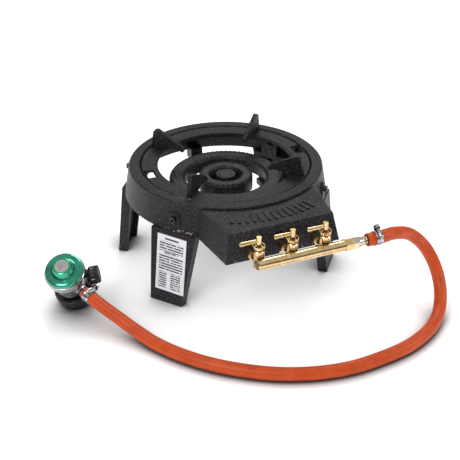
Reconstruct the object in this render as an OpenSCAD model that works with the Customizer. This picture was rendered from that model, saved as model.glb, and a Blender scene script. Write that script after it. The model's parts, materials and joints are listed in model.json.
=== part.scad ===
// Three-ring gas burner stand with its taps, hose and clip-on regulator.
// Millimetres, +Z up. The origin is on the floor under the centre of the ring, and the taps are on the -Y side.

/* [Stand ring] */
// Outer radius of the ring at its top edge
ring_top_r = 135; // [134:0.5:136]
// Outer radius of the ring at its bottom edge
ring_foot_r = 142; // [141:0.5:143]
// Height of the ring's top edge above the floor
ring_top_z = 148; // [147:0.5:149]
// Height of the ring's bottom edge, where the legs start
ring_bottom_z = 107; // [106.5:0.5:107]
// Radius of the recess that the pan support drops into
recess_r = 119.5; // [119.2:0.1:120.5]
// Height of the ledge that the pan support rests on
ledge_z = 138; // [137.5:0.5:138.5]

/* [Console] */
// Height of the console's flat top
console_top_z = 144; // [143:0.5:145]
// Half width of the console at its lower front edge
console_half_w = 78.5; // [76:0.5:80]
// Distance from the ring axis to the console's lower front edge
console_front = 190; // [189:0.5:191]
// Wall thickness of the castings
casting_wall = 6; // [5.5:0.5:6.5]

/* [Legs] */
// Angle from the tap side to the front legs
front_leg_angle = 51; // [50:1:53]
// Angle from the tap side to the rear legs
rear_leg_angle = 125; // [122:1:128]
// How far a foot stands out beyond the ring's bottom edge
leg_splay = 12; // [10:1:14]

/* [Taps] */
// Distance between neighbouring taps
tap_pitch = 45; // [44:0.5:46]
// Height of the manifold tube's axis
manifold_z = 118.5; // [118:0.5:119]
// Distance from the ring axis to the manifold tube
manifold_y = 221; // [220.5:0.5:221.5]
// Length of a tap lever from its stem
lever_length = 25; // [18:0.5:28]

/* [Regulator] */
// Lean of the regulator as it lies on the floor, in degrees
regulator_tilt = 30; // [30:0.5:30.5]
// Radius of the green cap
cap_r = 25.4; // [25:0.1:25.5]

/* [Hose] */
// Outer diameter of the hose
hose_d = 17; // [15:0.5:17]

/* [Hidden] */
$fn = 64;

iron = [0.13, 0.13, 0.14];
brass = [0.83, 0.66, 0.31];
steel = [0.75, 0.76, 0.78];
green = [0.05, 0.42, 0.27];
orange = [0.86, 0.38, 0.2];
black = [0.07, 0.07, 0.08];
white = [0.95, 0.95, 0.95];

// Ring section
ledge_r = 111;
ledge_t = 5;
top_edge = 1.5;

// Console: its side walls lean in with height and spread towards the ring
console_spread = 0.12;
console_draft = 0.205;
front_draft = 9 / 37;
console_back = -95;
window_half_w = 62;
window_top_z = 132;

// Legs, as [angle about Z, mirrored]
leg_places = [[-90 - front_leg_angle, 1], [-90 + front_leg_angle, -1],
              [-90 - rear_leg_angle, -1], [-90 + rear_leg_angle, 1]];
leg_tilt = atan(leg_splay / ring_bottom_z);
leg_plate = 5.5;
leg_depth = 12;
tab_out = 127;
tab_t = 5;
bolt_z = 125;
bolt_d = 5;
bolt_hole_d = 5.4;
pad_face = 140.8;

// Burners
burner_bottom = 106;
burner_pipe_d = 18;
arm_t = 8;

// Taps
tap_x = [-tap_pitch, 0, tap_pitch];
tap_y = manifold_y - 9;
outlet_z = 117;
stem_d = 6;
stem_top_d = 4.4;
running_gap = 0.03;
manifold_d = 14;
lever_z = 147;

// Regulator
collar_r = 25.6;
collar_foot_r = 25;
body_top = 59.5;
flange_r = 25.2;
lean_direction = -122;
regulator_at = [-236.5, -40.1, collar_foot_r * sin(regulator_tilt) + 0.1];
knob_angle = -12.4;
knob_w = 39;
nozzle_angle = -63;
nozzle_w = 37.5;
hose_start_r = 28;

// Hose route from the stand's barb to the regulator's nozzle
hose_route = [
    [100.4, -221, 118.5], [120.5, -220.9, 118.3], [145, -215.5, 115.5], [174.5, -207.7, 102.2],
    [198.1, -209.7, 79.2], [209.7, -221.8, 53.6], [209, -239.1, 31.9], [198.9, -257.4, 17],
    [182, -275, 9.5], [155, -294, 8.6], [118, -309, 8.6], [77, -316, 8.6], [31, -318, 8.6],
    [-14, -310, 8.6], [-55, -294, 8.6], [-92, -271, 8.6], [-124, -244, 8.6], [-150, -214, 8.6],
    [-171, -182, 9], [-188, -153, 14.5], [-203.5, -128.5, 22.5], [-216.5, -107.5, 29], [-232.7, -79.5, 37.9]
];
hose_sides = 12;

// ---------- helpers ----------

module around(angle) {
    rotate([0, 0, angle]) children();
}

// A cylinder along +X from x0 to x1
module bar_x(x0, x1, d, sides = 64) {
    translate([x0, 0, 0]) rotate([0, 90, 0]) cylinder(d = d, h = x1 - x0, $fn = sides);
}

// A hexagon bar along +X, given its width across flats
module hex_x(x0, x1, flats) {
    bar_x(x0, x1, flats / cos(30), 6);
}

// A round pipe through a list of points, with ball corners
module pipe(points, d) {
    for (i = [0 : len(points) - 2]) {
        step = points[i + 1] - points[i];
        translate(points[i])
            rotate([0, acos(step.z / norm(step)), atan2(step.y, step.x)])
                cylinder(d = d, h = norm(step));
        if (i > 0) translate(points[i]) sphere(d = d + 1);
    }
}

// A closed block between two loops of four points
module block(low, high) {
    polyhedron(
        points = concat(low, high),
        faces = [[0, 1, 2, 3], [7, 6, 5, 4], [0, 4, 5, 1], [1, 5, 6, 2], [2, 6, 7, 3], [3, 7, 4, 0]]
    );
}

// Points along a smooth curve through a route
function route_point(p, i, t) =
    let (a = p[max(i - 1, 0)], b = p[i], c = p[i + 1], d = p[min(i + 2, len(p) - 1)])
    0.5 * (2 * b + (c - a) * t + (2 * a - 5 * b + 4 * c - d) * t * t + (3 * b - a - 3 * c + d) * t * t * t);
function route_curve(p, steps) = concat(
    [for (i = [0 : len(p) - 2], k = [0 : steps - 1]) route_point(p, i, k / steps)],
    [p[len(p) - 1]]
);
function unit(v) = v / norm(v);
function tangent_at(p, i) = unit(p[min(i + 1, len(p) - 1)] - p[max(i - 1, 0)]);

// A round tube swept along a list of points; side_hint is never along the curve
module sweep(curve, r, sides, side_hint) {
    rings = [for (i = [0 : len(curve) - 1])
        let (t = tangent_at(curve, i), u = unit(cross(t, side_hint)), v = cross(t, u))
        for (k = [0 : sides - 1])
            curve[i] + r * (cos(360 * k / sides) * u + sin(360 * k / sides) * v)];
    last = (len(curve) - 1) * sides;
    polyhedron(
        points = rings,
        faces = concat(
            [[for (k = [0 : sides - 1]) k]],
            [[for (k = [sides - 1 : -1 : 0]) last + k]],
            [for (i = [0 : len(curve) - 2], k = [0 : sides - 1])
                let (n = (k + 1) % sides)
                [i * sides + n, i * sides + k, (i + 1) * sides + k, (i + 1) * sides + n]]
        )
    );
}

// ---------- stand casting ----------

function console_half(y, z) =
    console_half_w + console_spread * (y + console_front) - console_draft * (z - ring_bottom_z);
function console_loop(z, inset) =
    let (front = -console_front + front_draft * (z - ring_bottom_z) + inset)
    [[-console_half(front, z) + inset, front, z],
     [console_half(front, z) - inset, front, z],
     [console_half(console_back, z) - inset, console_back, z],
     [-console_half(console_back, z) + inset, console_back, z]];

module ring_wall() {
    rotate_extrude($fn = 96)
        polygon([
            [ring_foot_r, ring_bottom_z], [ring_top_r, ring_top_z - top_edge],
            [ring_top_r - top_edge, ring_top_z], [recess_r + 1, ring_top_z], [recess_r, ring_top_z - 1],
            [recess_r, ledge_z], [ledge_r, ledge_z], [ledge_r, ledge_z - ledge_t],
            [128, ledge_z - ledge_t], [131, ledge_z - 9], [ring_foot_r - 7.5, ring_bottom_z]
        ]);
}

// The arched pad that carries a leg bolt, in the leg's frame with +X outward
module leg_pad() {
    pad_r = 9;
    translate([tab_out, 0, bolt_z]) bar_x(0, pad_face - tab_out, 2 * pad_r);
    translate([tab_out, -pad_r, ring_bottom_z])
        cube([pad_face - tab_out, 2 * pad_r, bolt_z - ring_bottom_z]);
}

// Raised round-ended bars that follow the ring on the console's top
module grip_bars() {
    bar_w = 4.4;
    for (i = [-6 : 6])
        around(-90 + i * 3.3)
            translate([150, 0, console_top_z - 1]) {
                translate([0, -bar_w / 2, 0]) cube([17, bar_w, 2.5]);
                for (x = [0, 17]) translate([x, 0, 0]) cylinder(d = bar_w, h = 2.5, $fn = 24);
            }
}

// A cast arm from the ring wall towards the centre, along +X
module burner_arm(inner_x) {
    translate([inner_x, -9, burner_bottom - arm_t]) cube([118 - inner_x, 18, arm_t]);
    translate([114, -9, burner_bottom - arm_t]) cube([19.5, 18, 18]);
}

module stand_body() {
    color(iron) difference() {
        union() {
            ring_wall();
            difference() {
                block(console_loop(ring_bottom_z, 0), console_loop(console_top_z, 0));
                translate([0, 0, ring_bottom_z - 1]) cylinder(r = 133, h = 50, $fn = 96);
            }
            for (place = leg_places) around(place[0]) leg_pad();
            for (angle = [0, 180]) around(angle) burner_arm(52);
            around(90) burner_arm(12);
            grip_bars();
            translate([-27, -console_front + 5.2, 132.5]) cube([63, 3, 1.2]);
        }
        difference() {
            block(console_loop(ring_bottom_z - 1, casting_wall),
                  console_loop(console_top_z - casting_wall, casting_wall));
            translate([0, 0, ring_bottom_z - 2]) cylinder(r = ring_foot_r, h = 50, $fn = 96);
        }
        translate([-window_half_w, -150, ring_bottom_z - 1])
            cube([2 * window_half_w, 50, window_top_z - ring_bottom_z + 1]);
        translate([-6, -console_front - 5, ring_bottom_z - 1]) cube([15, 15, 3.5]);
        for (x = tap_x)
            translate([x, -console_front - 5, outlet_z]) rotate([-90, 0, 0]) cylinder(d = 11.7, h = 25);
        for (place = leg_places)
            around(place[0]) translate([0, 0, bolt_z]) bar_x(120, 146, bolt_hole_d);
        for (x = [-68, 68]) translate([x, 0, 90]) cylinder(d = 5.2, h = 30);
        for (y = [17, 30]) translate([0, y, 90]) cylinder(d = 5.2, h = 30);
    }
}

// ---------- legs ----------

// The leg's face outline, swept inward by depth, in a frame whose origin is the ring's bottom edge
module leg_face(depth, inset) {
    translate([-depth, 0, 0]) rotate([90, 0, 90])
        linear_extrude(depth + 1)
            polygon([
                [-34 + inset, 12], [35 - inset, 12], [33.2 - inset, 0], [13.7 - inset, -120],
                [-33 + inset, -120]
            ]);
}

module leg() {
    difference() {
        union() {
            intersection() {
                translate([ring_foot_r, 0, ring_bottom_z]) rotate([0, -leg_tilt, 0])
                    difference() {
                        leg_face(leg_depth, 0);
                        translate([-leg_plate, 0, 0]) leg_face(leg_depth, 5);
                    }
                translate([80, -50, 0]) cube([100, 100, ring_bottom_z]);
            }
            intersection() {
                translate([tab_out - tab_t, -27, ring_bottom_z - 6]) cube([18, 54, 6]);
                cylinder(r = ring_foot_r - 1, h = 200);
            }
            translate([tab_out - tab_t, -13, ring_bottom_z - 2]) cube([tab_t, 26, 26]);
        }
        translate([0, 0, bolt_z]) bar_x(110, 130, bolt_hole_d);
    }
}

module placed_leg(i) {
    color(iron) around(leg_places[i][0]) scale([1, leg_places[i][1], 1]) leg();
}

module leg_bolts() {
    color(steel) for (place = leg_places)
        around(place[0]) translate([0, 0, bolt_z]) difference() {
            union() {
                bar_x(tab_out - 11, pad_face, bolt_d);
                bar_x(pad_face, pad_face + 4.5, 8.5);
            }
            hex_x(pad_face + 2, pad_face + 6, 4);
        }
}

module leg_nuts() {
    color(steel) for (place = leg_places)
        around(place[0]) translate([0, 0, bolt_z]) difference() {
            hex_x(tab_out - tab_t - 4, tab_out - tab_t, 8);
            bar_x(100, 130, bolt_d + 0.1);
        }
}

module leg_label() {
    color(white) around(leg_places[0][0])
        translate([ring_foot_r, 0, ring_bottom_z]) rotate([0, -leg_tilt, 0])
            translate([1, -2.75, -48.6]) rotate([-1.5, 0, 0]) translate([0, -22, -41.25]) cube([0.3, 44, 82.5]);
}

// ---------- pan support ----------

support_r = 118;
support_hole_r = 95;
support_top = 147;
support_plate = 4;
support_turn = -2;

module support_rib() {
    translate([0, 3, 0]) rotate([90, 0, 0])
        linear_extrude(6)
            polygon([
                [116, support_top - 3], [116, 150], [112, 173], [109, 176], [105, 176.5],
                [70, 158], [64, 152], [66, 148], [74, 151], [86, 150], [94, 146], [97, support_top - 3]
            ]);
}

// A thin plate with a rim below its outer edge, which stands on the ledge
module pan_support() {
    plate_z = support_top - support_plate;
    color(iron) around(support_turn) {
        difference() {
            rotate_extrude($fn = 96)
                polygon([
                    [support_hole_r, plate_z], [support_hole_r, support_top - 1],
                    [support_hole_r + 1, support_top], [support_r - 1, support_top],
                    [support_r, support_top - 1], [support_r, ledge_z], [support_r - 6, ledge_z],
                    [support_r - 6, plate_z]
                ]);
            for (angle = [0, 180])
                around(angle) translate([103, -11, ledge_z - 1]) cube([13, 22, 20]);
        }
        for (angle = [45, 135, 225, 315]) around(angle) support_rib();
    }
}

// ---------- burners ----------

// A hollow ring head with a row of ports near each edge
module ring_head(r_in, r_out, top, port_d, rows) {
    difference() {
        rotate_extrude($fn = 96)
            polygon([
                [r_in, burner_bottom + 2], [r_in, top - 3], [r_in + 2.5, top], [r_out - 2.5, top],
                [r_out, top - 3], [r_out, burner_bottom + 2], [r_out - 2, burner_bottom],
                [r_in + 2, burner_bottom]
            ]);
        rotate_extrude($fn = 96)
            translate([r_in + 3.5, burner_bottom + 4]) square([r_out - r_in - 7, top - burner_bottom - 7]);
        for (row = rows, k = [0 : row[1] - 1])
            around((k + 0.5) * 360 / row[1]) translate([row[0], 0, top - 4]) cylinder(d = port_d, h = 6, $fn = 16);
    }
}

// A cast mixing pipe with a straight mouth, bored over its first stretch
module mixing_pipe(points) {
    mouth = 14;
    start = points[0] + [0, mouth, 0];
    difference() {
        union() {
            pipe(concat([start], [for (i = [1 : len(points) - 1]) points[i]]), burner_pipe_d);
            translate(start) sphere(d = burner_pipe_d + 1);
            translate(points[0]) rotate([-90, 0, 0]) cylinder(d = 21, h = mouth);
        }
        translate(points[0] - [0, 1, 0]) rotate([-90, 0, 0]) cylinder(d = 15, h = mouth);
    }
}

module outer_burner() {
    color(iron) {
        ring_head(57, 79.5, 126, 1.8, [[60.5, 60], [76, 72]]);
        difference() {
            mixing_pipe([[-tap_pitch, -168, outlet_z], [-tap_pitch, -136, 117], [-tap_pitch, -62, 116]]);
            cylinder(r = 78, h = 200, $fn = 96);
        }
    }
}

module middle_burner() {
    color(iron) {
        ring_head(22, 38, 128, 2.4, [[35, 32]]);
        mixing_pipe([[0, -168, outlet_z], [0, -136, 108], [0, -100, 93], [0, -30, 93]]);
        translate([0, -30, 92]) cylinder(d = 14, h = burner_bottom - 91);
    }
}

module centre_burner() {
    color(iron) {
        mixing_pipe([[tap_pitch, -168, outlet_z], [tap_pitch, -136, 108], [tap_pitch, -100, 93],
                     [24, -8, 93], [0, 0, 93]]);
        translate([0, 0, 92]) cylinder(d = 14, h = 20);
        difference() {
            union() {
                translate([0, 0, 111]) cylinder(d1 = 18, d2 = 27, h = 6);
                translate([0, 0, 117]) cylinder(d = 27, h = 11);
                translate([-5, 2, burner_bottom]) cube([10, 18, 5.5]);
            }
            for (k = [0 : 11])
                around(k * 30 + 15) translate([9.5, 0, 122]) cylinder(d = 2.2, h = 8, $fn = 16);
            translate([0, 17, burner_bottom - 1]) cylinder(d = 3.8, h = 5);
        }
    }
}

// Screws up through the cast arms into the burners' undersides
module burner_screws() {
    color(steel) for (at = [[-68, 0], [68, 0], [0, 30], [0, 17]])
        translate([at.x, at.y, burner_bottom - arm_t]) {
            translate([0, 0, -3]) cylinder(d = 8, h = 3);
            cylinder(d = 3.8, h = arm_t);
        }
}

// ---------- manifold and taps ----------

module along_manifold() {
    translate([0, -manifold_y, manifold_z]) children();
}

module manifold_tube() {
    color(brass) along_manifold() difference() {
        bar_x(-48, 68, manifold_d);
        bar_x(-49, 69, 10);
        for (x = tap_x) translate([x, 0, 0]) rotate([-90, 0, 0]) cylinder(d = 4, h = 10);
    }
}

module manifold_cap() {
    color(brass) along_manifold() {
        rotate([0, 90, 0]) rotate_extrude()
            polygon([[0, -51], [6, -51], [7, -50], [7, -48], [0, -48]]);
        bar_x(-48, -43, 10);
    }
}

module tap_body(x) {
    color(brass) translate([x, -tap_y, 0]) difference() {
        union() {
            rotate_extrude()
                polygon([
                    [0, 109], [6, 109], [6.6, 110.5], [6.6, 125.6], [7.2, 126.6], [7.2, 133.6],
                    [6.6, 134.4], [5, 134.4], [5, 136.4], [0, 136.4]
                ]);
            translate([0, 0, outlet_z]) rotate([-90, 0, 0]) cylinder(d = 9, h = 17);
            translate([0, 15.8, outlet_z]) rotate([-90, 0, 0]) cylinder(d = 12.4 / cos(30), h = 5.7, $fn = 6);
            translate([0, 20, outlet_z]) rotate([-90, 0, 0]) cylinder(d = 11.5, h = 10);
            translate([0, 29, outlet_z]) rotate([-90, 0, 0]) cylinder(d = 8, h = 7);
        }
        translate([-20, tap_y - manifold_y, manifold_z]) bar_x(0, 40, manifold_d + 0.04);
        translate([0, tap_y - manifold_y, manifold_z]) rotate([-90, 0, 0]) cylinder(d = 3.6, h = 11);
        translate([0, 0, 122.5]) cylinder(d = stem_d + 2 * running_gap, h = 16.5);
        translate([0, 3, outlet_z]) rotate([-90, 0, 0]) cylinder(d = 4, h = 40);
    }
}

// The open cup that holds the stem's packing
module gland_nut(x) {
    color(brass) translate([x, -tap_y, 0]) rotate_extrude()
        polygon([[3.3, 136.4], [7.2, 136.4], [7.4, 138], [7.9, 140.6], [6.9, 140.6], [6.4, 137.9], [3.3, 137.9]]);
}

module tap_stem(x) {
    color(brass) translate([x, -tap_y, 0]) {
        translate([0, 0, 122.8]) cylinder(d = stem_d, h = 19);
        translate([0, 0, 138.3]) cylinder(d = 8, h = 1.4);
        translate([0, 0, 141]) cylinder(d = stem_top_d, h = 9.3);
    }
}

module tap_lever(x) {
    color(brass) translate([x, -tap_y, 0]) difference() {
        union() {
            translate([0, 0, lever_z]) rotate([0, 90, 0]) rotate_extrude()
                polygon([
                    [0, -lever_length - 0.9], [1.7, -lever_length - 0.6], [2.6, 0.3 - lever_length],
                    [2.9, 1.6 - lever_length], [2.35, 0], [0, 0]
                ]);
            translate([0, 0, 142.3]) cylinder(d = 6.6, h = 9.7);
        }
        translate([0, 0, 140]) cylinder(d = stem_top_d + 0.04, h = 10.4);
    }
}

module injector(x) {
    color(brass) translate([x, -tap_y + 36, outlet_z]) rotate([0, 0, 90]) difference() {
        union() {
            hex_x(0, 4, 8);
            bar_x(4, 6.5, 5);
        }
        bar_x(-1, 10, 1.2);
    }
}

// ---------- hose fittings ----------

module union_nut() {
    color(brass) along_manifold() difference() {
        hex_x(68, 80.4, 14.8);
        bar_x(66, 84, 10);
    }
}

module taper_coupling() {
    color(steel) along_manifold() difference() {
        union() {
            hex_x(80.4, 87, 14.4);
            rotate([0, 90, 0]) rotate_extrude()
                polygon([[0, 87], [7, 87], [6.6, 89.5], [5.6, 93.5], [5.6, 95.6], [0, 95.6]]);
        }
        bar_x(76, 97, 7);
    }
}

module hose_barb() {
    color(brass) along_manifold() difference() {
        union() {
            bar_x(95.6, 97.2, 8.4);
            bar_x(97.2, 100.4, 10.4);
            for (i = [0 : 3])
                translate([100.4 + i * 5, 0, 0]) rotate([0, 90, 0]) cylinder(d1 = 11, d2 = 9.5, h = 5);
        }
        bar_x(90, 130, 6.5);
    }
}

module hose() {
    color(orange) sweep(route_curve(hose_route, 2), hose_d / 2, hose_sides, [0.3, 0.9, 0.3]);
}

// A worm-drive clamp about +X: the band with its housing, and its screw
module clamp_band() {
    difference() {
        union() {
            bar_x(-4.5, 4.5, hose_d + 2.4);
            translate([-4.5, -6, 8]) cube([9, 12, 6]);
        }
        bar_x(-6, 6, hose_d + 0.6);
        translate([0, -10, 11.4]) rotate([-90, 0, 0]) cylinder(d = 4.2, h = 30);
    }
}

module clamp_screw() {
    translate([0, -7, 11.4]) rotate([-90, 0, 0]) cylinder(d = 4, h = 14);
    translate([0, 7, 11.4]) rotate([-90, 0, 0]) difference() {
        cylinder(d = 8 / cos(30), h = 4.6, $fn = 6);
        translate([-5, -0.6, 3.2]) cube([10, 1.2, 3]);
    }
}

module at_stand_clamp() {
    translate([114.6, -220.9, 118.5]) rotate([0, 0, 2]) rotate([30, 0, 0]) children();
}

// ---------- regulator ----------

module regulator_frame() {
    translate(regulator_at)
        around(lean_direction) rotate([0, regulator_tilt, 0]) around(-lean_direction)
            children();
}

module at_regulator_clamp() {
    regulator_frame() around(nozzle_angle) translate([hose_start_r + 9, 0, nozzle_w])
        rotate([-35, 0, 0]) children();
}

module regulator_body() {
    color(steel) regulator_frame() difference() {
        union() {
            rotate_extrude()
                polygon([
                    [0, 2], [16.5, 2], [16.5, 23], [18.5, 23], [19.5, 26], [22.5, body_top - 7],
                    [22.5, body_top - 3.8], [flange_r, body_top - 3.8], [flange_r, body_top], [0, body_top]
                ]);
            around(nozzle_angle) translate([0, 0, nozzle_w]) bar_x(10, 22, 15);
            around(knob_angle) translate([0, 0, knob_w]) bar_x(10, 23.6, 15);
        }
        translate([0, 0, 1]) cylinder(r = 13.5, h = 13);
        translate([0, 0, 13]) cylinder(r = 12.5, h = 3);
        cylinder(d = 6, h = body_top - 2);
        translate([0, 0, body_top - 4]) cylinder(r = 20.5, h = 6);
        around(nozzle_angle) translate([0, 0, nozzle_w]) bar_x(2, 24, 6.5);
        around(knob_angle) translate([0, 0, knob_w]) bar_x(8, 30, 8 + 2 * running_gap);
    }
}

module clip_collar() {
    color(black) regulator_frame() rotate_extrude()
        polygon([
            [16.8, 0], [collar_foot_r, 0], [collar_r, 0.6], [collar_r, 12], [collar_r - 1, 13],
            [collar_r - 1, 14.5], [collar_r, 15.5], [collar_r - 1.5, 18.5], [16.8, 18.5]
        ]);
}

module inlet_seal() {
    color(black) regulator_frame() translate([0, 0, 14]) difference() {
        cylinder(r = 12.5, h = 2);
        translate([0, 0, -1]) cylinder(r = 5, h = 4);
    }
}

module regulator_rim() {
    color(steel) regulator_frame() translate([0, 0, body_top]) rotate_extrude()
        polygon([
            [22.8, -5.2], [25.8, -5.2], [26.6, -4.4], [26.6, 4.5], [25.8, 5.3], [24.6, 5.3],
            [24.6, 4.1], [flange_r + 0.1, 4.1], [flange_r + 0.1, -4], [22.8, -4]
        ]);
}

// Raised bars along part of the cap's shoulder, and a stud
module cap_marks() {
    for (i = [0 : 9])
        around(-95 + i * 9) translate([17.2, -0.8, 9.8]) cube([4.6, 1.6, 1.2]);
    around(-104) translate([19.5, 0, 9.6]) cylinder(d = 3, h = 1.4);
}

module regulator_cap() {
    color(green) regulator_frame() translate([0, 0, body_top]) {
        rotate_extrude()
            polygon([
                [22.6, 0.8], [flange_r, 0.8], [flange_r, 4], [24.3, 4], [24.3, 5.5], [cap_r, 5.7],
                [cap_r - 0.3, 7.5], [cap_r - 1.2, 9.3], [cap_r - 3, 10.3], [cap_r - 6, 10.8],
                [16.5, 10.6], [15.2, 11.4], [13, 17.5], [12, 19.4], [10.8, 20], [0, 20],
                [0, 17.5], [10, 17.5], [12.5, 8.6], [21, 7.5], [22.6, 5]
            ]);
        cap_marks();
    }
}

module regulator_sticker() {
    color(white) regulator_frame() translate([0, 0, body_top + 20]) cylinder(r = 10.4, h = 0.3);
}

module regulator_diaphragm() {
    color(black) regulator_frame() translate([0, 0, body_top]) {
        cylinder(r = flange_r, h = 0.8);
        translate([0, 0, 0.8]) cylinder(r = 11, h = 1.2);
    }
}

module regulator_spring() {
    turns = 5;
    color(steel) regulator_frame()
        sweep([for (i = [0 : turns * 16])
                  [7 * cos(i * 22.5), 7 * sin(i * 22.5), body_top + 3 + 8.9 * i / (turns * 16)]],
              0.9, 8, [0, 0, 1]);
}

module regulator_adjuster() {
    color(brass) regulator_frame() translate([0, 0, body_top + 12.9]) difference() {
        cylinder(r = 9, h = 3.6);
        translate([0, 0, 2.1]) cylinder(d = 8, h = 3, $fn = 6);
    }
}

module regulator_nozzle() {
    color(steel) regulator_frame() around(nozzle_angle) translate([0, 0, nozzle_w]) difference() {
        union() {
            hex_x(22, 25, 14);
            bar_x(25, hose_start_r, 11.5);
            for (i = [0 : 3])
                translate([hose_start_r + i * 5, 0, 0]) rotate([0, 90, 0])
                    cylinder(d1 = 9.5, d2 = 11, h = 5);
        }
        bar_x(20, 60, 6.5);
    }
}

module regulator_knob() {
    color(black) regulator_frame() around(knob_angle) translate([0, 0, knob_w]) difference() {
        union() {
            bar_x(24.2, 28.4, 18);
            bar_x(27.2, 41, 22);
            for (k = [0 : 9])
                rotate([k * 36 + 3, 0, 0]) translate([27.8, -1.8, 8]) cube([12.6, 3.6, 4.2]);
        }
        bar_x(20, 38, 8.04);
    }
}

module knob_shaft() {
    color(steel) regulator_frame() around(knob_angle) translate([0, 0, knob_w])
        bar_x(10, 38, 8);
}

stand_body();
placed_leg(0);  // leg_front_left
placed_leg(1);  // leg_front_right
placed_leg(2);  // leg_rear_left
placed_leg(3);  // leg_rear_right
leg_bolts();
leg_nuts();
leg_label();
pan_support();
outer_burner();
middle_burner();
centre_burner();
burner_screws();
manifold_tube();
manifold_cap();
tap_body(tap_x[0]);  // tap_body_left
tap_body(tap_x[1]);  // tap_body_middle
tap_body(tap_x[2]);  // tap_body_right
gland_nut(tap_x[0]);  // gland_nut_left
gland_nut(tap_x[1]);  // gland_nut_middle
gland_nut(tap_x[2]);  // gland_nut_right
tap_stem(tap_x[0]);  // tap_stem_left
tap_stem(tap_x[1]);  // tap_stem_middle
tap_stem(tap_x[2]);  // tap_stem_right
tap_lever(tap_x[0]);  // tap_lever_left
tap_lever(tap_x[1]);  // tap_lever_middle
tap_lever(tap_x[2]);  // tap_lever_right
injector(tap_x[0]);  // injector_left
injector(tap_x[1]);  // injector_middle
injector(tap_x[2]);  // injector_right
union_nut();
taper_coupling();
hose_barb();
hose();
color(steel) at_stand_clamp() clamp_band();  // stand_clamp_band
color(steel) at_stand_clamp() clamp_screw();  // stand_clamp_screw
color(steel) at_regulator_clamp() clamp_band();  // regulator_clamp_band
color(steel) at_regulator_clamp() clamp_screw();  // regulator_clamp_screw
regulator_body();
regulator_rim();
regulator_cap();
regulator_sticker();
regulator_diaphragm();
regulator_spring();
regulator_adjuster();
regulator_nozzle();
clip_collar();
inlet_seal();
regulator_knob();
knob_shaft();
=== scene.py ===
"""Looks of the gas burner stand: cast iron ring and legs, brass taps, orange hose and clip-on regulator."""

import json
import math

import bmesh
import bpy
from mathutils import Matrix, Vector


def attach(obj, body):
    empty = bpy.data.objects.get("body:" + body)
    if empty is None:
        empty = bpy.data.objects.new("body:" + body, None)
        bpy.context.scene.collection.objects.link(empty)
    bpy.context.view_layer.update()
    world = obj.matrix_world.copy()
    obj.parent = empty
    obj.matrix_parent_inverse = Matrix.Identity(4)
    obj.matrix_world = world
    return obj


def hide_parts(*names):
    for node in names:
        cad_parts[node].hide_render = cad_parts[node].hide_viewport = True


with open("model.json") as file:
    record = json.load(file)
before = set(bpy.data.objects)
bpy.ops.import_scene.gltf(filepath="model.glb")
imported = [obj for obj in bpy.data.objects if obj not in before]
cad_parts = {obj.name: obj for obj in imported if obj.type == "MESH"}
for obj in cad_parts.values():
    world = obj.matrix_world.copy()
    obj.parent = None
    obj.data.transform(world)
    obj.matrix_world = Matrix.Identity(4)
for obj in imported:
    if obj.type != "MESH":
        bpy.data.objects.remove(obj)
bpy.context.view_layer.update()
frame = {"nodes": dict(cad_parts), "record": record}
NODES = frame["nodes"]
MM = 0.001

# ---------- camera and cord route ----------

CAMERA_AZIMUTH = math.radians(-22.82)
CAMERA_ELEVATION = math.radians(30.79)
CAMERA_DISTANCE = 1.3159
CAMERA_TARGET = Vector((5.6, -2.4, 35.1)) * MM
FOCAL_PIXELS, FRAME_PIXELS = 900.0, 460.0

HOSE_D = 17 * MM
HOSE_ROUTE = [
    (100.4, -221, 118.5), (120.5, -220.9, 118.3), (145, -215.5, 115.5), (174.5, -207.7, 102.2),
    (198.1, -209.7, 79.2), (209.7, -221.8, 53.6), (209, -239.1, 31.9), (198.9, -257.4, 17),
    (182, -275, 9.5), (155, -294, 8.6), (118, -309, 8.6), (77, -316, 8.6), (31, -318, 8.6),
    (-14, -310, 8.6), (-55, -294, 8.6), (-92, -271, 8.6), (-124, -244, 8.6), (-150, -214, 8.6),
    (-171, -182, 9), (-188, -153, 14.5), (-203.5, -128.5, 22.5), (-216.5, -107.5, 29),
    (-232.7, -79.5, 37.9),
]
STAND_CLAMP_ALONG, REGULATOR_CLAMP_ALONG = 14.2 * MM, 9 * MM


def turned(axis, degrees):
    return Matrix.Rotation(math.radians(degrees), 4, axis)


def moved(x, y, z):
    return Matrix.Translation(Vector((x, y, z)))


# Places that the CAD gives, in millimetres: the regulator's frame, and the two hose clamps about their +X
LEAN, LEAN_DIRECTION, COLLAR_FOOT_R = 30, -122, 25
REGULATOR = (moved(-236.5, -40.1, COLLAR_FOOT_R * math.sin(math.radians(LEAN)) + 0.1)
             @ turned("Z", LEAN_DIRECTION) @ turned("Y", LEAN) @ turned("Z", -LEAN_DIRECTION))
REGULATOR_CLAMP = REGULATOR @ turned("Z", -63) @ moved(37, 0, 37.5) @ turned("X", -35)
STAND_CLAMP = moved(114.6, -220.9, 118.5) @ turned("Z", 2) @ turned("X", 30)
KNOB = REGULATOR @ turned("Z", -12.4) @ moved(0, 0, 39)
CAP_TOP = 79.5
LEG_LABEL = (turned("Z", -141) @ moved(142, 0, 107) @ turned("Y", -math.degrees(math.atan(12 / 107)))
             @ moved(1, -2.75, -48.6) @ turned("X", -1.5) @ moved(0, -22, -41.25))
LABEL_WIDTH, LABEL_HEIGHT, LABEL_THICK = 44, 82.5, 0.3
TO_METRES = Matrix.Scale(MM, 4)


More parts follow.
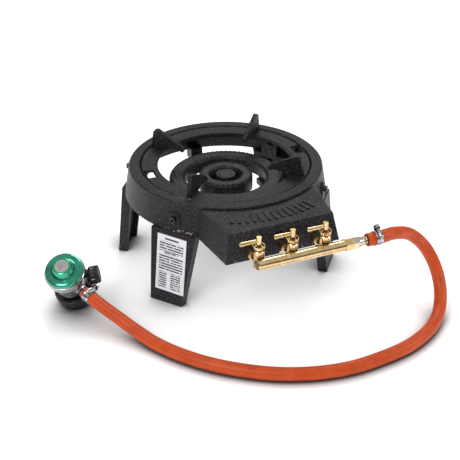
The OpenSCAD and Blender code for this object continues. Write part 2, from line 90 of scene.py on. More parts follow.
def make_camera():
    data = bpy.data.cameras.new("camera")
    data.sensor_width = 36
    data.lens = data.sensor_width * FOCAL_PIXELS / FRAME_PIXELS
    camera = bpy.data.objects.new("camera", data)
    back = Vector((
        math.sin(CAMERA_AZIMUTH) * math.cos(CAMERA_ELEVATION),
        -math.cos(CAMERA_AZIMUTH) * math.cos(CAMERA_ELEVATION),
        math.sin(CAMERA_ELEVATION),
    ))
    camera.location = CAMERA_TARGET + back * CAMERA_DISTANCE
    camera.rotation_euler = back.to_track_quat("Z", "Y").to_euler()
    bpy.context.scene.collection.objects.link(camera)
    bpy.context.scene.camera = camera


# ---------- material helpers ----------

class Shader:
    """A material whose nodes are added one call at a time."""

    def __init__(self, name, **sockets):
        self.material = bpy.data.materials.new(name)
        self.material.use_nodes = True
        self.tree = self.material.node_tree
        self.bsdf = self.tree.nodes["Principled BSDF"]
        for socket, value in sockets.items():
            self.bsdf.inputs[socket.replace("_", " ")].default_value = value
        self.coordinates = self.add("ShaderNodeTexCoord")

    def add(self, kind, **settings):
        node = self.tree.nodes.new(kind)
        for key, value in settings.items():
            setattr(node, key, value)
        return node

    def put(self, value, socket):
        if isinstance(value, bpy.types.NodeSocket):
            self.tree.links.new(value, socket)
        else:
            socket.default_value = value

    def math(self, operation, a, b=0.0, clamp=False):
        node = self.add("ShaderNodeMath", operation=operation, use_clamp=clamp)
        self.put(a, node.inputs[0])
        self.put(b, node.inputs[1])
        return node.outputs[0]

    def where(self, source="Object", scale=(1, 1, 1)):
        if scale == (1, 1, 1):
            return self.coordinates.outputs[source]
        node = self.add("ShaderNodeMapping")
        node.inputs["Scale"].default_value = scale
        self.put(self.coordinates.outputs[source], node.inputs["Vector"])
        return node.outputs[0]

    def noise(self, scale, detail=2.0, roughness=0.5, vector=None):
        node = self.add("ShaderNodeTexNoise")
        node.inputs["Scale"].default_value = scale
        node.inputs["Detail"].default_value = detail
        node.inputs["Roughness"].default_value = roughness
        self.put(vector or self.where(), node.inputs["Vector"])
        return node.outputs["Fac"]

    def range(self, value, low, high, to_low=0.0, to_high=1.0):
        node = self.add("ShaderNodeMapRange", clamp=True)
        for i, v in enumerate((value, low, high, to_low, to_high)):
            self.put(v, node.inputs[i])
        return node.outputs[0]

    def mix(self, factor, a, b):
        node = self.add("ShaderNodeMix", data_type="RGBA")
        self.put(factor, node.inputs["Factor"])
        self.put(a, node.inputs[6])
        self.put(b, node.inputs[7])
        return node.outputs[2]

    def bump(self, height, distance, strength=1.0, under=None):
        node = self.add("ShaderNodeBump")
        node.inputs["Strength"].default_value = strength
        node.inputs["Distance"].default_value = distance
        self.put(height, node.inputs["Height"])
        if under is not None:
            self.put(under, node.inputs["Normal"])
        return node.outputs[0]

    def paint_nook_shade(self, base, reach, nook_shade_colour):
        """Painted shade: mixes a near-black colour in where surfaces nearly meet, within reach in metres."""
        nook = self.add("ShaderNodeAmbientOcclusion", samples=8)
        nook.inputs["Distance"].default_value = reach
        return self.mix(self.range(nook.outputs["AO"], 0.30, 0.75, 0.9, 0.0), base, nook_shade_colour)

    def colour(self, value):
        self.put(value, self.bsdf.inputs["Base Color"])

    def roughness(self, value):
        self.put(value, self.bsdf.inputs["Roughness"])

    def normal(self, value):
        self.put(value, self.bsdf.inputs["Normal"])

    def xyz(self, source="Object"):
        node = self.add("ShaderNodeSeparateXYZ")
        self.put(self.where(source), node.inputs[0])
        return node.outputs


def rgb(r, g, b):
    return (r, g, b, 1.0)


# ---------- materials ----------

RING_FOOT_Z, SEAT_RADIUS, SEAT_TOP_Z = 0.1085, 0.1205, 0.143
WORN_X, WORN_Y = -0.099, -0.102  # over the front left leg


def iron_material(name, rust=False, level=1.0, pits=0.0011):
    """Black painted sand casting: pitted grain, soft lumps, paler dust, painted glints of light as pale specks
    in the base colour, and rust where it is chipped.
    """
    s = Shader(name, Specular_IOR_Level=0.28)
    grain = s.noise(430, 4, 0.72)
    lumps = s.noise(75, 2, 0.5)
    dust = s.range(s.noise(24, 3, 0.6), 0.42, 0.70)
    low, high, pale = (rgb(*(level * v for v in c)) for c in (
        (0.0008, 0.0008, 0.0016), (0.017, 0.016, 0.021), (0.044, 0.044, 0.053)))
    base = s.mix(s.range(grain, 0.42, 0.58), low, high)
    base = s.mix(s.math("MULTIPLY", dust, 0.25), base, pale)
    # painted glints: pale specks in the base colour stand in for light caught by the grain
    painted_glint = s.range(s.noise(560, 2, 0.6), 0.59, 0.67)
    base = s.mix(s.math("MULTIPLY", painted_glint, 0.55), base, rgb(0.17, 0.17, 0.19))
    if rust:
        x, y, z = s.xyz()
        radius = s.math("SQRT", s.math("ADD", s.math("MULTIPLY", x, x), s.math("MULTIPLY", y, y)))
        low_edge = s.range(s.math("ABSOLUTE", s.math("SUBTRACT", z, RING_FOOT_Z)), 0.001, 0.004, 1.0, 0.0)
        seat = s.range(s.math("ABSOLUTE", s.math("SUBTRACT", radius, SEAT_RADIUS)), 0.0, 0.0025, 1.0, 0.0)
        edges = s.math("MAXIMUM", low_edge, s.math("MULTIPLY", seat, s.math("GREATER_THAN", z, SEAT_TOP_Z)))
        over_leg = s.math("ADD", s.math("ABSOLUTE", s.math("SUBTRACT", x, WORN_X)),
                          s.math("ABSOLUTE", s.math("SUBTRACT", y, WORN_Y)))
        worn = s.range(over_leg, 0.010, 0.035, 1.0, 0.0)
        chips = s.range(s.math("ADD", s.noise(260, 3, 0.6), s.math("MULTIPLY", worn, 0.07)), 0.60, 0.66)
        patch = s.math("MAXIMUM", s.range(s.noise(16, 2, 0.5), 0.50, 0.60), worn)
        bare = s.mix(s.range(s.noise(500, 2, 0.5), 0.42, 0.58), rgb(0.30, 0.15, 0.07), rgb(0.62, 0.56, 0.50))
        base = s.mix(s.math("MULTIPLY", s.math("MULTIPLY", edges, chips), patch), base, bare)
    s.colour(base)
    s.roughness(s.range(grain, 0.35, 0.68, 0.24, 0.60))
    soft = s.bump(lumps, 0.0012, 0.5)
    s.normal(s.bump(grain, pits, 0.9, soft))
    return s.material


def brass_material():
    s = Shader("polished_brass", Metallic=1.0)
    film = s.noise(170, 3, 0.6)
    tarnish = s.range(s.noise(60, 3, 0.6), 0.52, 0.75)
    lines = s.noise(60, 2, 0.5, s.where(scale=(30, 1, 1)))
    base = s.mix(s.range(film, 0.35, 0.7), rgb(0.69, 0.47, 0.21), rgb(0.87, 0.69, 0.41))
    base = s.mix(s.math("MULTIPLY", tarnish, 0.35), base, rgb(0.45, 0.24, 0.10))
    # painted shade: near-black colour in the nooks where the brass parts nearly meet
    s.colour(s.paint_nook_shade(base, 0.005, rgb(0.035, 0.018, 0.008)))
    s.roughness(s.range(film, 0.3, 0.7, 0.10, 0.22))
    s.normal(s.bump(lines, 0.00004, 0.3))
    return s.material


def metal_material(name, colour, shade, rough, line_axis=(1, 1, 30), grain=0.00004):
    s = Shader(name, Metallic=1.0)
    lines = s.noise(90, 3, 0.6, s.where(scale=line_axis))
    cloud = s.noise(160, 2, 0.5)
    base = s.mix(s.range(cloud, 0.3, 0.75), colour, shade)
    # painted shade: near-black colour in the nooks where parts nearly meet
    s.colour(s.paint_nook_shade(base, 0.004, rgb(0.020, 0.020, 0.022)))
    s.roughness(s.range(lines, 0.3, 0.7, rough * 0.75, rough * 1.3))
    s.normal(s.bump(lines, grain, 0.6))
    return s.material


def hose_material():
    s = Shader("orange_hose", Specular_IOR_Level=0.32)
    soft = s.noise(55, 3, 0.55)
    fine = s.noise(900, 3, 0.6)
    s.colour(s.mix(s.range(soft, 0.3, 0.72), rgb(0.52, 0.056, 0.006), rgb(0.68, 0.090, 0.012)))
    s.roughness(s.range(fine, 0.3, 0.7, 0.34, 0.48))
    s.normal(s.bump(fine, 0.00005, 0.5, s.bump(soft, 0.0003, 0.25)))
    return s.material


def enamel_material():
    s = Shader("green_enamel", Coat_Weight=0.9, Coat_Roughness=0.05, Metallic=0.8)
    flow = s.noise(60, 2, 0.5)
    fine = s.noise(700, 2, 0.5)
    s.colour(s.mix(s.range(flow, 0.3, 0.7), rgb(0.006, 0.190, 0.108), rgb(0.022, 0.400, 0.255)))
    s.roughness(s.range(fine, 0.3, 0.7, 0.12, 0.20))
    s.normal(s.bump(flow, 0.0004, 0.3))
    return s.material


def plastic_material(name, low, high, rough):
    s = Shader(name)
    fine = s.noise(1500, 2, 0.5)
    cloud = s.noise(90, 2, 0.5)
    s.colour(s.mix(cloud, low, high))
    s.roughness(s.range(cloud, 0.3, 0.7, rough * 0.85, rough * 1.15))
    s.normal(s.bump(fine, 0.00006, 0.5))
    return s.material


def greeked_lines(s, u, v, row_height, letter, cover, ink_share=0.42):
    """1 where a row of unreadable words has ink, in a sheet measured in metres."""
    row = s.math("FLOOR", s.math("DIVIDE", v, row_height))
    within = s.math("FRACT", s.math("DIVIDE", v, row_height))
    band = s.math("LESS_THAN", s.math("ABSOLUTE", s.math("SUBTRACT", within, 0.5)), ink_share / 2)
    spot = s.add("ShaderNodeCombineXYZ")
    s.put(s.math("DIVIDE", u, letter), spot.inputs[0])
    s.put(s.math("MULTIPLY", row, 7.31), spot.inputs[1])
    words = s.math("GREATER_THAN", s.noise(1.0, 1, 0.5, spot.outputs[0]), cover)
    return s.math("MULTIPLY", band, words)


def label_material(width, height):
    """White paper with a heading, paragraphs of unreadable words, and a table of short ones below."""
    s = Shader("printed_label", Roughness=0.45)
    u, v, _ = s.xyz("UV")
    x = s.math("MULTIPLY", u, width)
    y = s.math("MULTIPLY", v, height)
    off_centre = s.math("ABSOLUTE", s.math("SUBTRACT", u, 0.5))
    text = greeked_lines(s, x, y, 0.0038, 0.0024, 0.38, 0.52)
    heading = greeked_lines(s, x, y, 0.0050, 0.0035, 0.30, 0.60)
    table = greeked_lines(s, x, y, 0.0033, 0.0020, 0.40, 0.55)

    def between(value, low, high):
        return s.math("MULTIPLY", s.math("GREATER_THAN", value, low), s.math("LESS_THAN", value, high))

    title = s.math("MULTIPLY", s.math("ADD", between(v, 0.90, 0.95), between(v, 0.65, 0.70)),
                   s.math("LESS_THAN", off_centre, 0.24))
    paragraphs = s.math("MULTIPLY", s.math("ADD", between(v, 0.71, 0.89), between(v, 0.36, 0.64)),
                        s.math("LESS_THAN", off_centre, 0.41))
    columns = s.math("ADD", between(u, 0.10, 0.38), between(u, 0.52, 0.86))
    foot = s.math("MULTIPLY", between(v, 0.05, 0.34), columns)
    ink = s.math("ADD", s.math("MULTIPLY", heading, title), s.math("MULTIPLY", text, paragraphs))
    ink = s.math("ADD", ink, s.math("MULTIPLY", table, foot), clamp=True)
    paper = s.mix(s.noise(40, 2, 0.5), rgb(0.86, 0.88, 0.94), rgb(0.95, 0.96, 1.0))
    s.colour(s.mix(ink, paper, rgb(0.020, 0.020, 0.030)))
    s.normal(s.bump(s.noise(300, 2, 0.5), 0.00005, 0.4))
    return s.material


def sticker_material():
    """White disc with a bright green edge and a few unreadable grey marks."""
    s = Shader("cap_sticker", Roughness=0.4, Coat_Weight=0.3)
    u, v, _ = s.xyz("UV")
    x = s.math("SUBTRACT", u, 0.5)
    y = s.math("SUBTRACT", v, 0.5)
    r = s.math("SQRT", s.math("ADD", s.math("MULTIPLY", x, x), s.math("MULTIPLY", y, y)))
    marks = greeked_lines(s, s.math("MULTIPLY", u, 0.020), s.math("MULTIPLY", v, 0.020), 0.0026, 0.0012, 0.5)
    marks = s.math("MULTIPLY", marks, s.math("LESS_THAN", r, 0.30))
    base = s.mix(marks, s.mix(s.noise(420, 3, 0.7), rgb(0.24, 0.23, 0.24), rgb(0.54, 0.52, 0.53)),
                 rgb(0.05, 0.05, 0.06))
    green = s.math("GREATER_THAN", r, 0.43)
    s.colour(s.mix(green, base, rgb(0.015, 0.32, 0.045)))
    s.normal(s.bump(s.noise(500, 2, 0.5), 0.00004, 0.4))
    return s.material


IRON = iron_material("cast_iron")
STAND_IRON = iron_material("cast_iron_stand", rust=True)
BRASS = brass_material()
HOSE_RUBBER = hose_material()
ENAMEL = enamel_material()
NICKEL = metal_material("nickel_plate", rgb(0.60, 0.51, 0.42), rgb(0.82, 0.74, 0.66), 0.17)
CLAMP_STEEL = metal_material("bright_band", rgb(0.36, 0.37, 0.39), rgb(0.74, 0.75, 0.77), 0.15)
FASTENER = metal_material("black_screws", rgb(0.045, 0.045, 0.05), rgb(0.11, 0.11, 0.12), 0.38)
ZINC = metal_material("zinc_casting", rgb(0.36, 0.36, 0.375), rgb(0.54, 0.54, 0.555), 0.25, (1, 1, 1), 0.0001)
CHROME = metal_material("chrome_rim", rgb(0.42, 0.43, 0.45), rgb(0.60, 0.61, 0.63), 0.12)
BLACK_PLASTIC = plastic_material("black_plastic", rgb(0.004, 0.004, 0.005), rgb(0.011, 0.011, 0.013), 0.19)
SEAL_RUBBER = plastic_material("seal_rubber", rgb(0.014, 0.014, 0.014), rgb(0.024, 0.024, 0.024), 0.62)
STICKER = sticker_material()
LABEL_PAPER = label_material(LABEL_WIDTH * MM, LABEL_HEIGHT * MM)
BURNER_IRON = iron_material("burner_iron", level=0.8, pits=0.0005)

SLOT_MATERIALS = {
    "iron": IRON, "fastener_steel": FASTENER, "brass": BRASS, "nickel": NICKEL,
    "hose_rubber": HOSE_RUBBER, "clamp_steel": CLAMP_STEEL, "zinc_casting": ZINC,
    "chrome_rim": CHROME, "green_enamel": ENAMEL, "sticker": STICKER, "label": LABEL_PAPER,
    "seal_rubber": SEAL_RUBBER, "spring_steel": CLAMP_STEEL, "black_plastic": BLACK_PLASTIC,
}
NODE_MATERIALS = {"stand_body": STAND_IRON, "outer_burner": BURNER_IRON, "middle_burner": BURNER_IRON,
                  "centre_burner": BURNER_IRON}
EDGE_WIDTHS = {"iron": 1.0, "brass": 0.35, "fastener_steel": 0.3, "black_plastic": 0.6}
SMALL_EDGE = 0.3


# ---------- mesh helpers ----------

def piece(name, mesh, material, body, replaced=(), smooth_angle=35):
    """A finished mesh piece on its body."""
    obj = bpy.data.objects.new(name, mesh)
    bpy.context.scene.collection.objects.link(obj)
    mesh.materials.append(material)
    for polygon in mesh.polygons:
        polygon.use_smooth = True
    mesh.set_sharp_from_angle(angle=math.radians(smooth_angle))
    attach(obj, body)
    if replaced:
        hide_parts(*replaced)
    return obj


def mesh_of(name, vertices, faces):
    mesh = bpy.data.meshes.new(name)
    mesh.from_pydata([tuple(v) for v in vertices], [], faces)
    mesh.update()
    return mesh


def closed_grid(name, rings, matrix, wrap_rings):
    """A surface through rings of points in mm; each ring is closed, and the rings close up too if asked."""
    count, vertices, faces = len(rings[0]), [], []
    for ring in rings:
        vertices += [TO_METRES @ matrix @ Vector(p) for p in ring]
    for i in range(len(rings) if wrap_rings else len(rings) - 1):
        j = (i + 1) % len(rings)
        for k in range(count):
            n = (k + 1) % count
            faces.append((i * count + k, j * count + k, j * count + n, i * count + n))
    if not wrap_rings:
        faces.append(tuple(range(count)))
        faces.append(tuple(reversed(range((len(rings) - 1) * count, len(rings) * count))))
    mesh = mesh_of(name, vertices, faces)
    work = bmesh.new()
    work.from_mesh(mesh)
    bmesh.ops.recalc_face_normals(work, faces=work.faces)
    work.to_mesh(mesh)
    work.free()
    return mesh


def turned_ring(profile, segments, radius_at=None):
    """Rings for closed_grid: a closed (radius, height) profile turned about Z."""
    rings = []
    for i in range(segments):
        angle = math.tau * i / segments
        ring = []
        for r, h in profile:
            radius = radius_at(angle, r, h) if radius_at else r
            ring.append((radius * math.cos(angle), radius * math.sin(angle), h))
        rings.append(ring)
    return rings


def extruded(profile, low, high, edge=0.25):
    """Rings for closed_grid: an (x, z) outline along Y, with its ends slightly drawn in."""
    cx = sum(p[0] for p in profile) / len(profile)
    cz = sum(p[1] for p in profile) / len(profile)
    rings = []
    for y, shrink in ((low, 0.94), (low + edge, 1), (high - edge, 1), (high, 0.94)):
        rings.append([(cx + (x - cx) * shrink, y, cz + (z - cz) * shrink) for x, z in profile])
    return rings


def arc(cx, cy, r, start, end, steps):
    """Points (x, y) along an arc, in degrees."""
    return [(cx + r * math.cos(math.radians(start + (end - start) * i / steps)),
             cy + r * math.sin(math.radians(start + (end - start) * i / steps))) for i in range(steps + 1)]


# ---------- hose ----------

def route_curve(points, steps):
    """The same smooth curve through the route that the CAD sweeps."""
    points = [Vector(p) * MM for p in points]
    line = []
    for i in range(len(points) - 1):
        a, b = points[max(i - 1, 0)], points[i]
        c, d = points[i + 1], points[min(i + 2, len(points) - 1)]
        for k in range(steps):
            t = k / steps
            line.append(0.5 * (2 * b + (c - a) * t + (2 * a - 5 * b + 4 * c - d) * t * t
                               + (3 * b - a - 3 * c + d) * t ** 3))
    return line + [points[-1]]


def swept(name, line, radius_at, sides=48):
    """A capped round tube along a line, with no twist."""
    normal = Vector((0, 0, 1))
    vertices, faces = [], []
    travelled, length = 0.0, sum((b - a).length for a, b in zip(line, line[1:]))
    for i, point in enumerate(line):
        tangent = (line[min(i + 1, len(line) - 1)] - line[max(i - 1, 0)]).normalized()
        normal = (normal - tangent * normal.dot(tangent)).normalized()
        side = tangent.cross(normal)
        if i:
            travelled += (point - line[i - 1]).length
        r = radius_at(travelled, length)
        for k in range(sides):
            angle = math.tau * k / sides
            vertices.append(point + r * (math.cos(angle) * normal + math.sin(angle) * side))
    for i in range(len(line) - 1):
        for k in range(sides):
            n = (k + 1) % sides
            faces.append((i * sides + k, i * sides + n, (i + 1) * sides + n, (i + 1) * sides + k))
    last = (len(line) - 1) * sides
    faces.append(tuple(reversed(range(sides))))
    faces.append(tuple(range(last, last + sides)))
    return mesh_of(name, vertices, faces)


END_ROUNDING, END_DRAWN_IN = 0.8 * MM, 0.5 * MM
NIP_REACH, NIP_DEPTH = 6 * MM, 0.35 * MM
CURVE_STEPS = 12


def hose_radius(travelled, length):
    """The hose is nipped in under each clamp band and rounded at its ends."""
    radius = HOSE_D / 2
    from_end = min(travelled, length - travelled)
    if from_end < END_ROUNDING:
        radius -= END_DRAWN_IN * (1 - from_end / END_ROUNDING)
    clamp = STAND_CLAMP_ALONG if travelled < length / 2 else REGULATOR_CLAMP_ALONG
    nip = 1 - min(1, abs(from_end - clamp) / NIP_REACH)
    return radius - NIP_DEPTH * nip


def make_liner(name, at, outward):
    """The black inner layer of the hose, seen as a ring at its cut end."""
    profile = [(5.3, -1.2), (6.9, -1.2), (6.9, 0.12), (6.7, 0.2), (5.5, 0.2), (5.3, 0.1)]
    place = Matrix.Translation(at / MM) @ outward.to_track_quat("Z", "Y").to_matrix().to_4x4()
    mesh = closed_grid(name, turned_ring(profile, 64), place, True)
    piece(name, mesh, SEAL_RUBBER, "stand")


def make_hose():
    """The hose, its two liner rings, and the points that its middle follows."""
    line = route_curve(HOSE_ROUTE, CURVE_STEPS)
    for point in line:
        point.z = max(point.z, HOSE_D / 2)
    make_liner("hose_liner_stand", line[0], line[0] - line[1])
    make_liner("hose_liner_regulator", line[-1], line[-1] - line[-2])
    ends = [line[0] + (line[1] - line[0]) * t for t in (0.1, 0.3)]
    tail = [line[-1] + (line[-2] - line[-1]) * t for t in (0.3, 0.1)]
    line = [line[0]] + ends + line[1:-1] + tail + [line[-1]]
    mesh = swept("gas_hose", line, hose_radius)
    obj = piece("gas_hose", mesh, HOSE_RUBBER, "stand", ("hose",), 60)
    return obj, line


# ---------- hose clamps ----------

BAND_IN, BAND_OUT, BAND_HALF = 8.75, 9.5, 4.5
SCREW_HEIGHT = 11.3


def clamp_band(name, matrix, node):
    """A perforated worm-drive band about +X, its overlapping tail, and the formed housing over the screw."""
    slots, segments = 30, 360
    profile = [(BAND_IN, -BAND_HALF), (BAND_OUT, -BAND_HALF), (BAND_OUT + 0.2, -4.2), (BAND_OUT, -3.6),
               (BAND_OUT, -2.6), (BAND_OUT - 0.01, -2.4), (BAND_OUT - 0.01, 2.4), (BAND_OUT, 2.6),
               (BAND_OUT, 3.6), (BAND_OUT + 0.2, 4.2), (BAND_OUT, BAND_HALF), (BAND_IN, BAND_HALF)]

    def with_slots(angle, r, h):
        in_slot = (angle / math.tau * slots) % 1 < 0.42 and abs(h) < 2.5 and r > 9
        return r - 0.45 if in_slot else r

    rings = turned_ring(profile, segments, with_slots)
    along_x = matrix @ turned("Y", 90)
    band = closed_grid(name, rings, along_x, True)
    piece(name, band, CLAMP_STEEL, "stand", (node,), 30)

    outline = ([(-4.4, 9.3), (-4.4, 10.0), (-3.2, 10.3)] + arc(0, SCREW_HEIGHT - 0.1, 2.8, 172, 8, 14)
               + [(3.2, 10.3), (4.4, 10.0), (4.4, 9.3)])
    inner = ([(3.7, 9.3), (2.4, 9.9)] + arc(0, SCREW_HEIGHT - 0.1, 2.15, 0, 180, 14)
             + [(-2.4, 9.9), (-3.7, 9.3)])
    housing = closed_grid(name + "_housing", extruded(outline + inner, -5.6, 5.6, 0.3), matrix, False)
    piece(name + "_housing", housing, CLAMP_STEEL, "stand", smooth_angle=40)

    tail_low, tail_high, tail_half = BAND_OUT + 0.05, BAND_OUT + 0.6, 3.9
    tail_profile = [(tail_low, -tail_half), (tail_high, -tail_half),
                    (tail_high, tail_half), (tail_low, tail_half)]
    tail_rings = []
    for i in range(25):
        angle = math.radians(150 + 62 * i / 24)
        tail_rings.append([(r * math.cos(angle), r * math.sin(angle), h) for r, h in tail_profile])
    tail = closed_grid(name + "_tail", tail_rings, along_x, False)
    piece(name + "_tail", tail, CLAMP_STEEL, "stand", smooth_angle=30)


def clamp_screw(name, matrix, node):
    """The slotted hex-head worm screw, its thread cut as a spiral."""
    segments, pitch, core, crest = 32, 1.5, 1.55, 2.0
    half_length, steps = 7, 140
    rings = []
    for i in range(steps + 1):
        y = half_length * (2 * i / steps - 1)
        ring = []
        for k in range(segments):
            angle = math.tau * k / segments
            wave = math.cos(math.tau * (y / pitch) + angle)
            r = core + (crest - core) * min(1, max(0, 0.5 + 1.2 * wave))
            ring.append((r * math.cos(angle), y, SCREW_HEIGHT + r * math.sin(angle)))
        rings.append(ring)
    thread = closed_grid(name, rings, matrix, False)
    piece(name, thread, CLAMP_STEEL, "stand", (node,), 50)

    head = bmesh.new()

    def prism(outline, sections):
        loops = [[head.verts.new((x * scale, y, SCREW_HEIGHT + z * scale)) for x, z in outline]
                 for y, scale in sections]
        count = len(outline)
        for low, high in zip(loops, loops[1:]):
            for k in range(count):
                head.faces.new((low[k], low[(k + 1) % count], high[(k + 1) % count], high[k]))
        head.faces.new(loops[0])
        head.faces.new(loops[-1])

    corner = 4.6
    prism([(corner * math.cos(math.tau * k / 24), corner * math.sin(math.tau * k / 24)) for k in range(24)],
          ((7.0, 1.0), (7.7, 1.0), (7.9, 0.94)))
    prism([(corner * 0.96 * math.cos(math.tau * k / 6), corner * 0.96 * math.sin(math.tau * k / 6))
           for k in range(6)], ((7.85, 1.0), (10.4, 1.0)))
    for side in (1, -1):
        half = [(4.1, 0.5), (2.2, 3.8), (-2.2, 3.8), (-4.1, 0.5)]
        prism([(x, side * z) for x, z in half], ((10.35, 1.0), (11.1, 1.0), (11.5, 0.9)))
    bmesh.ops.recalc_face_normals(head, faces=head.faces)
    head.transform(TO_METRES @ matrix)
    mesh = bpy.data.meshes.new(name + "_head")
    head.to_mesh(mesh)
    head.free()
    piece(name + "_head", mesh, CLAMP_STEEL, "stand", smooth_angle=25)


# ---------- small printed pieces, knob and burner ports ----------

def make_leg_label():
    """A sheet of paper with a UV map, on the leg's face."""
    columns, rows = 12, 24
    work = bmesh.new()
    uv = work.loops.layers.uv.new("label")
    place = TO_METRES @ LEG_LABEL
    sheets = []
    for x in (LABEL_THICK, 0.02):
        sheets.append([[work.verts.new(place @ Vector((x, LABEL_WIDTH * i / columns, LABEL_HEIGHT * j / rows)))
                        for i in range(columns + 1)] for j in range(rows + 1)])
    for side, grid in enumerate(sheets):
        for j in range(rows):
            for i in range(columns):
                corners = [(i, j), (i + 1, j), (i + 1, j + 1), (i, j + 1)]
                face = work.faces.new([grid[b][a] for a, b in corners])
                for loop, (a, b) in zip(face.loops, corners):
                    loop[uv].uv = (a / columns, b / rows) if side == 0 else (0, 0)
    front, back = sheets
    border = ([(i, 0) for i in range(columns)] + [(columns, j) for j in range(rows)]
              + [(i, rows) for i in range(columns, 0, -1)] + [(0, j) for j in range(rows, 0, -1)])
    for (a, b), (c, d) in zip(border, border[1:] + border[:1]):
        work.faces.new((front[b][a], front[d][c], back[d][c], back[b][a]))
    bmesh.ops.recalc_face_normals(work, faces=work.faces)
    mesh = bpy.data.meshes.new("instruction_label")
    work.to_mesh(mesh)
    work.free()
    piece("instruction_label", mesh, LABEL_PAPER, "stand", ("leg_label",))


def make_cap_sticker():
    """A slightly domed printed disc."""
    radius, rings, segments = 10.3, 10, 96
    place = TO_METRES @ REGULATOR @ moved(0, 0, CAP_TOP)
    work = bmesh.new()
    uv = work.loops.layers.uv.new("sticker")

    def point(i, k):
        share = i / rings
        r, angle = radius * share, math.tau * k / segments
        return place @ Vector((r * math.cos(angle), r * math.sin(angle), 0.12 + 0.16 * (1 - share ** 4)))

    def flat(i, k):
        angle = math.tau * k / segments
        return 0.5 + 0.5 * i / rings * math.cos(angle), 0.5 + 0.5 * i / rings * math.sin(angle)

    centre = work.verts.new(point(0, 0))
    grid = [[work.verts.new(point(i, k)) for k in range(segments)] for i in range(1, rings + 1)]
    foot = [work.verts.new(place @ Vector((radius * math.cos(math.tau * k / segments),
                                           radius * math.sin(math.tau * k / segments), 0.01)))
            for k in range(segments)]
    for k in range(segments):
        n = (k + 1) % segments
        face = work.faces.new((centre, grid[0][k], grid[0][n]))
        for loop, (i, c) in zip(face.loops, ((0, k), (1, k), (1, n))):
            loop[uv].uv = flat(i, c)
        for i in range(rings - 1):
            face = work.faces.new((grid[i][k], grid[i + 1][k], grid[i + 1][n], grid[i][n]))
            for loop, (a, c) in zip(face.loops, ((i + 1, k), (i + 2, k), (i + 2, n), (i + 1, n))):
                loop[uv].uv = flat(a, c)
        face = work.faces.new((grid[-1][k], foot[k], foot[n], grid[-1][n]))
        for loop in face.loops:
            loop[uv].uv = flat(rings, k)
    work.faces.new(list(reversed(foot)))
    bmesh.ops.recalc_face_normals(work, faces=work.faces)
    mesh = bpy.data.meshes.new("cap_sticker")
    work.to_mesh(mesh)
    work.free()
    piece("cap_sticker", mesh, STICKER, "stand", ("regulator_sticker",))


def make_knob():
    """The fluted on/off knob, turned about the CAD's knob axis."""
    flutes = 10
    profile = [(4.03, 24.2), (8.4, 24.2), (9, 24.8), (9, 27.2), (10.6, 27.3), (11.6, 28.0), (12.0, 29.2),
               (12.1, 34), (11.9, 39.4), (11.4, 40.6), (10.6, 41), (8.8, 41), (8.2, 40.3), (4, 40.1),
               (0.4, 40.1), (0.4, 38.6), (4.03, 38.6)]

    def fluted(angle, r, w):
        if r < 10.5 or w < 27.25:
            return r
        wave = 0.5 + 0.5 * math.cos(flutes * angle)
        return r - 2.0 * (1 - wave) ** 1.5

    rings = turned_ring(profile, 240, fluted)
    mesh = closed_grid("on_off_knob_grip", rings, KNOB @ turned("Y", 90), True)
    piece("on_off_knob_grip", mesh, BLACK_PLASTIC, "on_off_knob", ("regulator_knob",), 40)


def make_port_bosses(name, rows, low, high, hole, outer):
    """Small cast bosses round the burner ports."""
    profile = [(hole, low), (outer, low), (outer, high - 0.3), (outer - 0.3, high), (hole + 0.15, high),
               (hole, high - 0.2)]
    work = bmesh.new()
    for radius, count in rows:
        for k in range(count):
            place = turned("Z", (k + 0.5) * 360 / count) @ moved(radius, 0, 0)
            boss = closed_grid(name, turned_ring(profile, 12), place, True)
            work.from_mesh(boss)
            bpy.data.meshes.remove(boss)
    mesh = bpy.data.meshes.new(name)
    work.to_mesh(mesh)
    work.free()
    piece(name, mesh, BURNER_IRON, "stand", smooth_angle=50)


# ---------- CAD nodes that keep their shape ----------

WELD_DISTANCE = 1e-6
BEVEL_FROM_ANGLE = math.radians(32)


def finish_cad_nodes():
    """Every CAD node gets its material and softly rounded edges."""
    slots = {part["node"]: part["material_slot"] for part in frame["record"]["subparts"]}
    for name, obj in NODES.items():
        slot = slots[name]
        material = NODE_MATERIALS.get(name, SLOT_MATERIALS[slot])
        obj.data.materials.clear()
        obj.data.materials.append(material)
        if "custom_normal" in obj.data.attributes:
            obj.data.attributes.remove(obj.data.attributes["custom_normal"])
        for polygon in obj.data.polygons:
            polygon.use_smooth = True
        weld = obj.modifiers.new("weld", "WELD")
        weld.merge_threshold = WELD_DISTANCE
        bevel = obj.modifiers.new("rounded_edges", "BEVEL")
        bevel.width = EDGE_WIDTHS.get(slot, SMALL_EDGE) * MM
        bevel.segments = 2
        bevel.limit_method = "ANGLE"
        bevel.angle_limit = BEVEL_FROM_ANGLE
        bevel.harden_normals = True


# ---------- floor and light ----------

FLOOR_HALF, CONTACT_REACH, FLOOR_GLOW = 6, 0.075, 0.42
LIGHT_AIM = Vector((0, -0.05, 0.08))
LIGHTS = (  # name, place and size in metres, watts
    ("key", (-1.3, -0.9, 1.5), 0.7, 14),
    ("fill", (1.4, -1.0, 0.9), 0.4, 5),
    ("top_back", (0.6, 1.1, 1.7), 1.0, 14),
)
TENT_STRENGTH = 0.62
TENT_RAMP = (0.08, 0.72, 0.08, 1.0)  # from height, to height, from grey, to grey


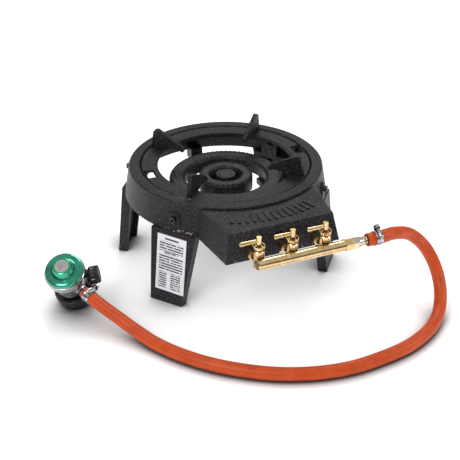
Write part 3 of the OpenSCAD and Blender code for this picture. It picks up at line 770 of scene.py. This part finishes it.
def make_floor():
    """A pale floor that glows a little, with a painted contact shadow darkening its colour and glow where
    something stands close over it.
    """
    h = FLOOR_HALF
    mesh = mesh_of("floor", [(-h, -h, 0), (h, -h, 0), (h, h, 0), (-h, h, 0)], [(0, 1, 2, 3)])
    floor = bpy.data.objects.new("floor", mesh)
    bpy.context.scene.collection.objects.link(floor)
    s = Shader("pale_floor", Roughness=0.7, Specular_IOR_Level=0.2, Emission_Color=rgb(1, 1, 1))
    # painted contact shadow: the floor's colour and glow both darken where something stands close over it
    contact_shadow = s.add("ShaderNodeAmbientOcclusion", samples=8)
    contact_shadow.inputs["Distance"].default_value = CONTACT_REACH
    unshadowed_share = s.range(contact_shadow.outputs["AO"], 0.40, 0.93)
    pale = s.mix(s.noise(3, 2, 0.5), rgb(0.92, 0.92, 0.92), rgb(0.94, 0.94, 0.94))
    s.colour(s.mix(unshadowed_share, rgb(0.14, 0.13, 0.13), pale))
    s.put(s.math("MULTIPLY", unshadowed_share, FLOOR_GLOW), s.bsdf.inputs["Emission Strength"])
    mesh.materials.append(s.material)


def area_light(name, at, size, power):
    data = bpy.data.lights.new(name, "AREA")
    data.size = size
    data.energy = power
    light = bpy.data.objects.new(name, data)
    light.location = at
    light.rotation_euler = (Vector(at) - LIGHT_AIM).to_track_quat("Z", "Y").to_euler()
    bpy.context.scene.collection.objects.link(light)


def make_light():
    """Three lights in a tent, dark near the horizon for metal to reflect, and white to the camera."""
    world = bpy.data.worlds.new("studio")
    world.use_nodes = True
    tree = world.node_tree
    background = tree.nodes["Background"]
    coordinates = tree.nodes.new("ShaderNodeTexCoord")
    height = tree.nodes.new("ShaderNodeSeparateXYZ")
    ramp = tree.nodes.new("ShaderNodeMapRange")
    ramp.interpolation_type = "SMOOTHSTEP"
    for i, value in enumerate(TENT_RAMP):
        ramp.inputs[i + 1].default_value = value
    tree.links.new(coordinates.outputs["Generated"], height.inputs[0])
    tree.links.new(height.outputs["Z"], ramp.inputs[0])
    tree.links.new(ramp.outputs[0], background.inputs["Color"])
    background.inputs["Strength"].default_value = TENT_STRENGTH
    white = tree.nodes.new("ShaderNodeBackground")
    white.inputs["Color"].default_value = rgb(1, 1, 1)
    path = tree.nodes.new("ShaderNodeLightPath")
    mixed = tree.nodes.new("ShaderNodeMixShader")
    tree.links.new(path.outputs["Is Camera Ray"], mixed.inputs[0])
    tree.links.new(background.outputs[0], mixed.inputs[1])
    tree.links.new(white.outputs[0], mixed.inputs[2])
    tree.links.new(mixed.outputs[0], tree.nodes["World Output"].inputs["Surface"])
    bpy.context.scene.world = world
    for light in LIGHTS:
        area_light(*light)
    bpy.context.scene.view_settings.view_transform = "Standard"


# ---------- the whole model ----------

CLAMP_PARTS = ("", "_housing", "_tail", "_screw", "_screw_head")

make_camera()
hose, hose_line = make_hose()
clamp_pieces = []
for end, place in (("stand", STAND_CLAMP), ("regulator", REGULATOR_CLAMP)):
    clamp_band(end + "_hose_clamp", place, end + "_clamp_band")
    clamp_screw(end + "_hose_clamp_screw", place, end + "_clamp_screw")
    clamp_pieces += ["hose_liner_" + end] + [end + "_hose_clamp" + part for part in CLAMP_PARTS]
make_leg_label()
make_cap_sticker()
make_knob()
make_port_bosses("outer_burner_bosses", ((60.5, 60), (76, 72)), 124, 126.5, 0.9, 1.7)
make_port_bosses("middle_burner_bosses", ((35, 32),), 123, 128.6, 1.2, 2.3)
finish_cad_nodes()
make_floor()
make_light()
